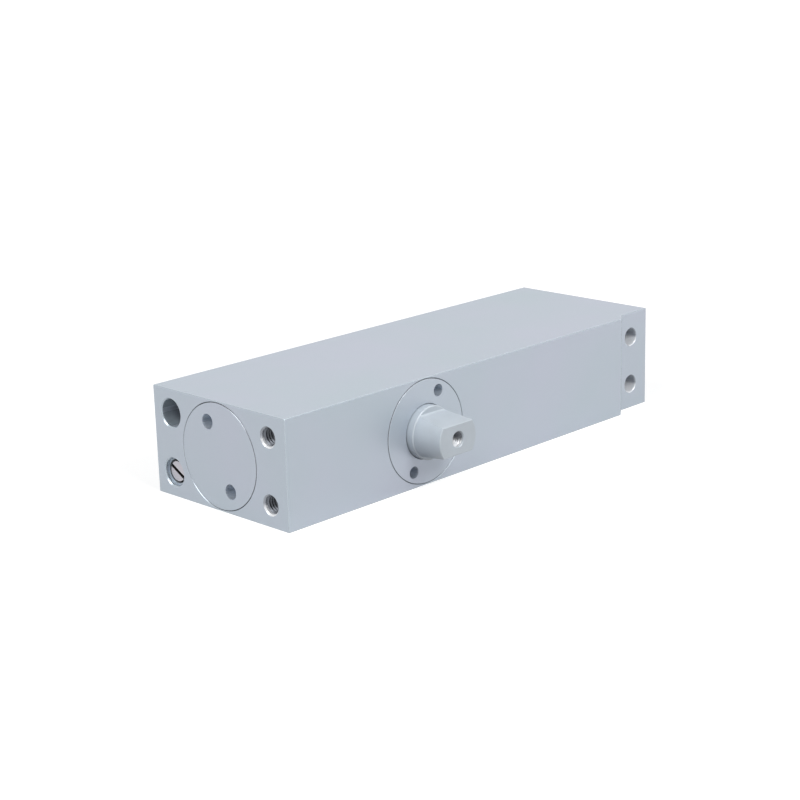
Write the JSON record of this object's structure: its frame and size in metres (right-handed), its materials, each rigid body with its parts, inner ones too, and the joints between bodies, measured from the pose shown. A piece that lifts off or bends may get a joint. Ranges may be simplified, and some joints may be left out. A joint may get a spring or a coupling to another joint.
{
  "type": "concealed pivot hinge",
  "caption": "Hydraulic closer body with a tapered double-D pivot spindle in its narrow side, made to hide in the bottom rail of a door.",
  "frame": {"origin": "where the spindle's axis crosses the face that the spindle comes out of, at half the body's thickness", "axes": "-Y along the spindle, out of the body; +X along the body to the fixing lug; +Z across the thickness, up with the body lying on its wide face"},
  "size_m": [0.183, 0.0765, 0.036],
  "materials": {
    "silver_aluminium": "fine satin silver finish",
    "spindle_steel": "satin plated steel",
    "bearing_steel": "ground and polished",
    "spring_steel": "oiled spring steel",
    "piston_iron": "ground iron",
    "valve_steel": "turned and plated",
    "black_rubber": "oil-resistant rubber",
    "seal_plastic": "slippery seal plastic",
    "cage_brass": "turned brass"
  },
  "bodies": {
    "body": {"housing": "silver_aluminium", "oilway_plugs": "bearing_steel", "end_plug": "silver_aluminium", "end_plug_ring": "black_rubber", "spindle_cap": "silver_aluminium", "spindle_cap_ring": "black_rubber", "lip_seal": "black_rubber", "bearing_outer_ring": "bearing_steel", "needle_cup": "bearing_steel", "thrust_pad": "bearing_steel", "closing_spring": "spring_steel", "spring_seat": "spring_steel"},
    "spindle": {"spindle": "spindle_steel", "bearing_inner_ring": "bearing_steel", "thrust_ball": "bearing_steel"},
    "ball_set": {"bearing_balls": "bearing_steel", "ball_cage": "cage_brass"},
    "needle_set": {"needle_rollers": "bearing_steel"},
    "piston": {"piston": "piston_iron", "piston_seal": "seal_plastic", "check_retainer": "spring_steel", "check_spring": "spring_steel"},
    "check_ball": {"check_ball": "bearing_steel"},
    "closing_valve_ring": {"closing_valve_ring": "black_rubber"},
    "closing_valve": {"closing_valve": "valve_steel"},
    "latching_valve_ring": {"latching_valve_ring": "black_rubber"},
    "latching_valve": {"latching_valve": "valve_steel"}
  },
  "joints": [
    {"name": "spindle_turn", "type": "hinge", "parent": "body", "child": "spindle", "pos_m": [0, 0, 0], "axis": [0, 1, 0], "range_deg": [0, 120], "stiffness_Nm_per_rad": 1.81},
    {"name": "piston_slide", "type": "slide", "parent": "body", "child": "piston", "axis": [1, 0, 0], "range_m": [0, 0.01445], "deforming": ["closing_spring"]},
    {"name": "check_ball_lift", "type": "slide", "parent": "piston", "child": "check_ball", "axis": [-1, 0, 0], "range_m": [0, 0.001], "stiffness_N_per_m": 300, "deforming": ["check_spring"]},
    {"name": "ball_set_turn", "type": "hinge", "parent": "body", "child": "ball_set", "pos_m": [0, 0.0115, 0], "axis": [0, 1, 0], "range_deg": [0, 50.3]},
    {"name": "needle_set_turn", "type": "hinge", "parent": "body", "child": "needle_set", "pos_m": [0, 0.04755, 0], "axis": [0, 1, 0], "range_deg": [0, 52.8]},
    {"name": "closing_valve_travel", "type": "slide", "parent": "body", "child": "closing_valve_ring", "axis": [-1, 0, 0], "range_m": [-0.00054, 0.00112]},
    {"name": "closing_valve_turn", "type": "hinge", "parent": "closing_valve_ring", "child": "closing_valve", "pos_m": [-0.0518, 0.05425, 0.0099], "axis": [-1, 0, 0], "range_deg": [-262, 542]},
    {"name": "latching_valve_travel", "type": "slide", "parent": "body", "child": "latching_valve_ring", "axis": [-1, 0, 0], "range_m": [-0.00054, 0.00112]},
    {"name": "latching_valve_turn", "type": "hinge", "parent": "latching_valve_ring", "child": "latching_valve", "pos_m": [-0.0593, 0.05425, -0.0099], "axis": [-1, 0, 0], "range_deg": [-262, 542]}
  ],
  "couplings": [
    {"joint": "piston_slide", "follows": "spindle_turn", "m_per_rad": 0.006875},
    {"joint": "ball_set_turn", "follows": "spindle_turn", "ratio": 0.4149},
    {"joint": "needle_set_turn", "follows": "spindle_turn", "ratio": 0.436},
    {"joint": "closing_valve_turn", "follows": "closing_valve_travel", "rad_per_m": 8377.6},
    {"joint": "latching_valve_turn", "follows": "latching_valve_travel", "rad_per_m": 8377.6}
  ]
}
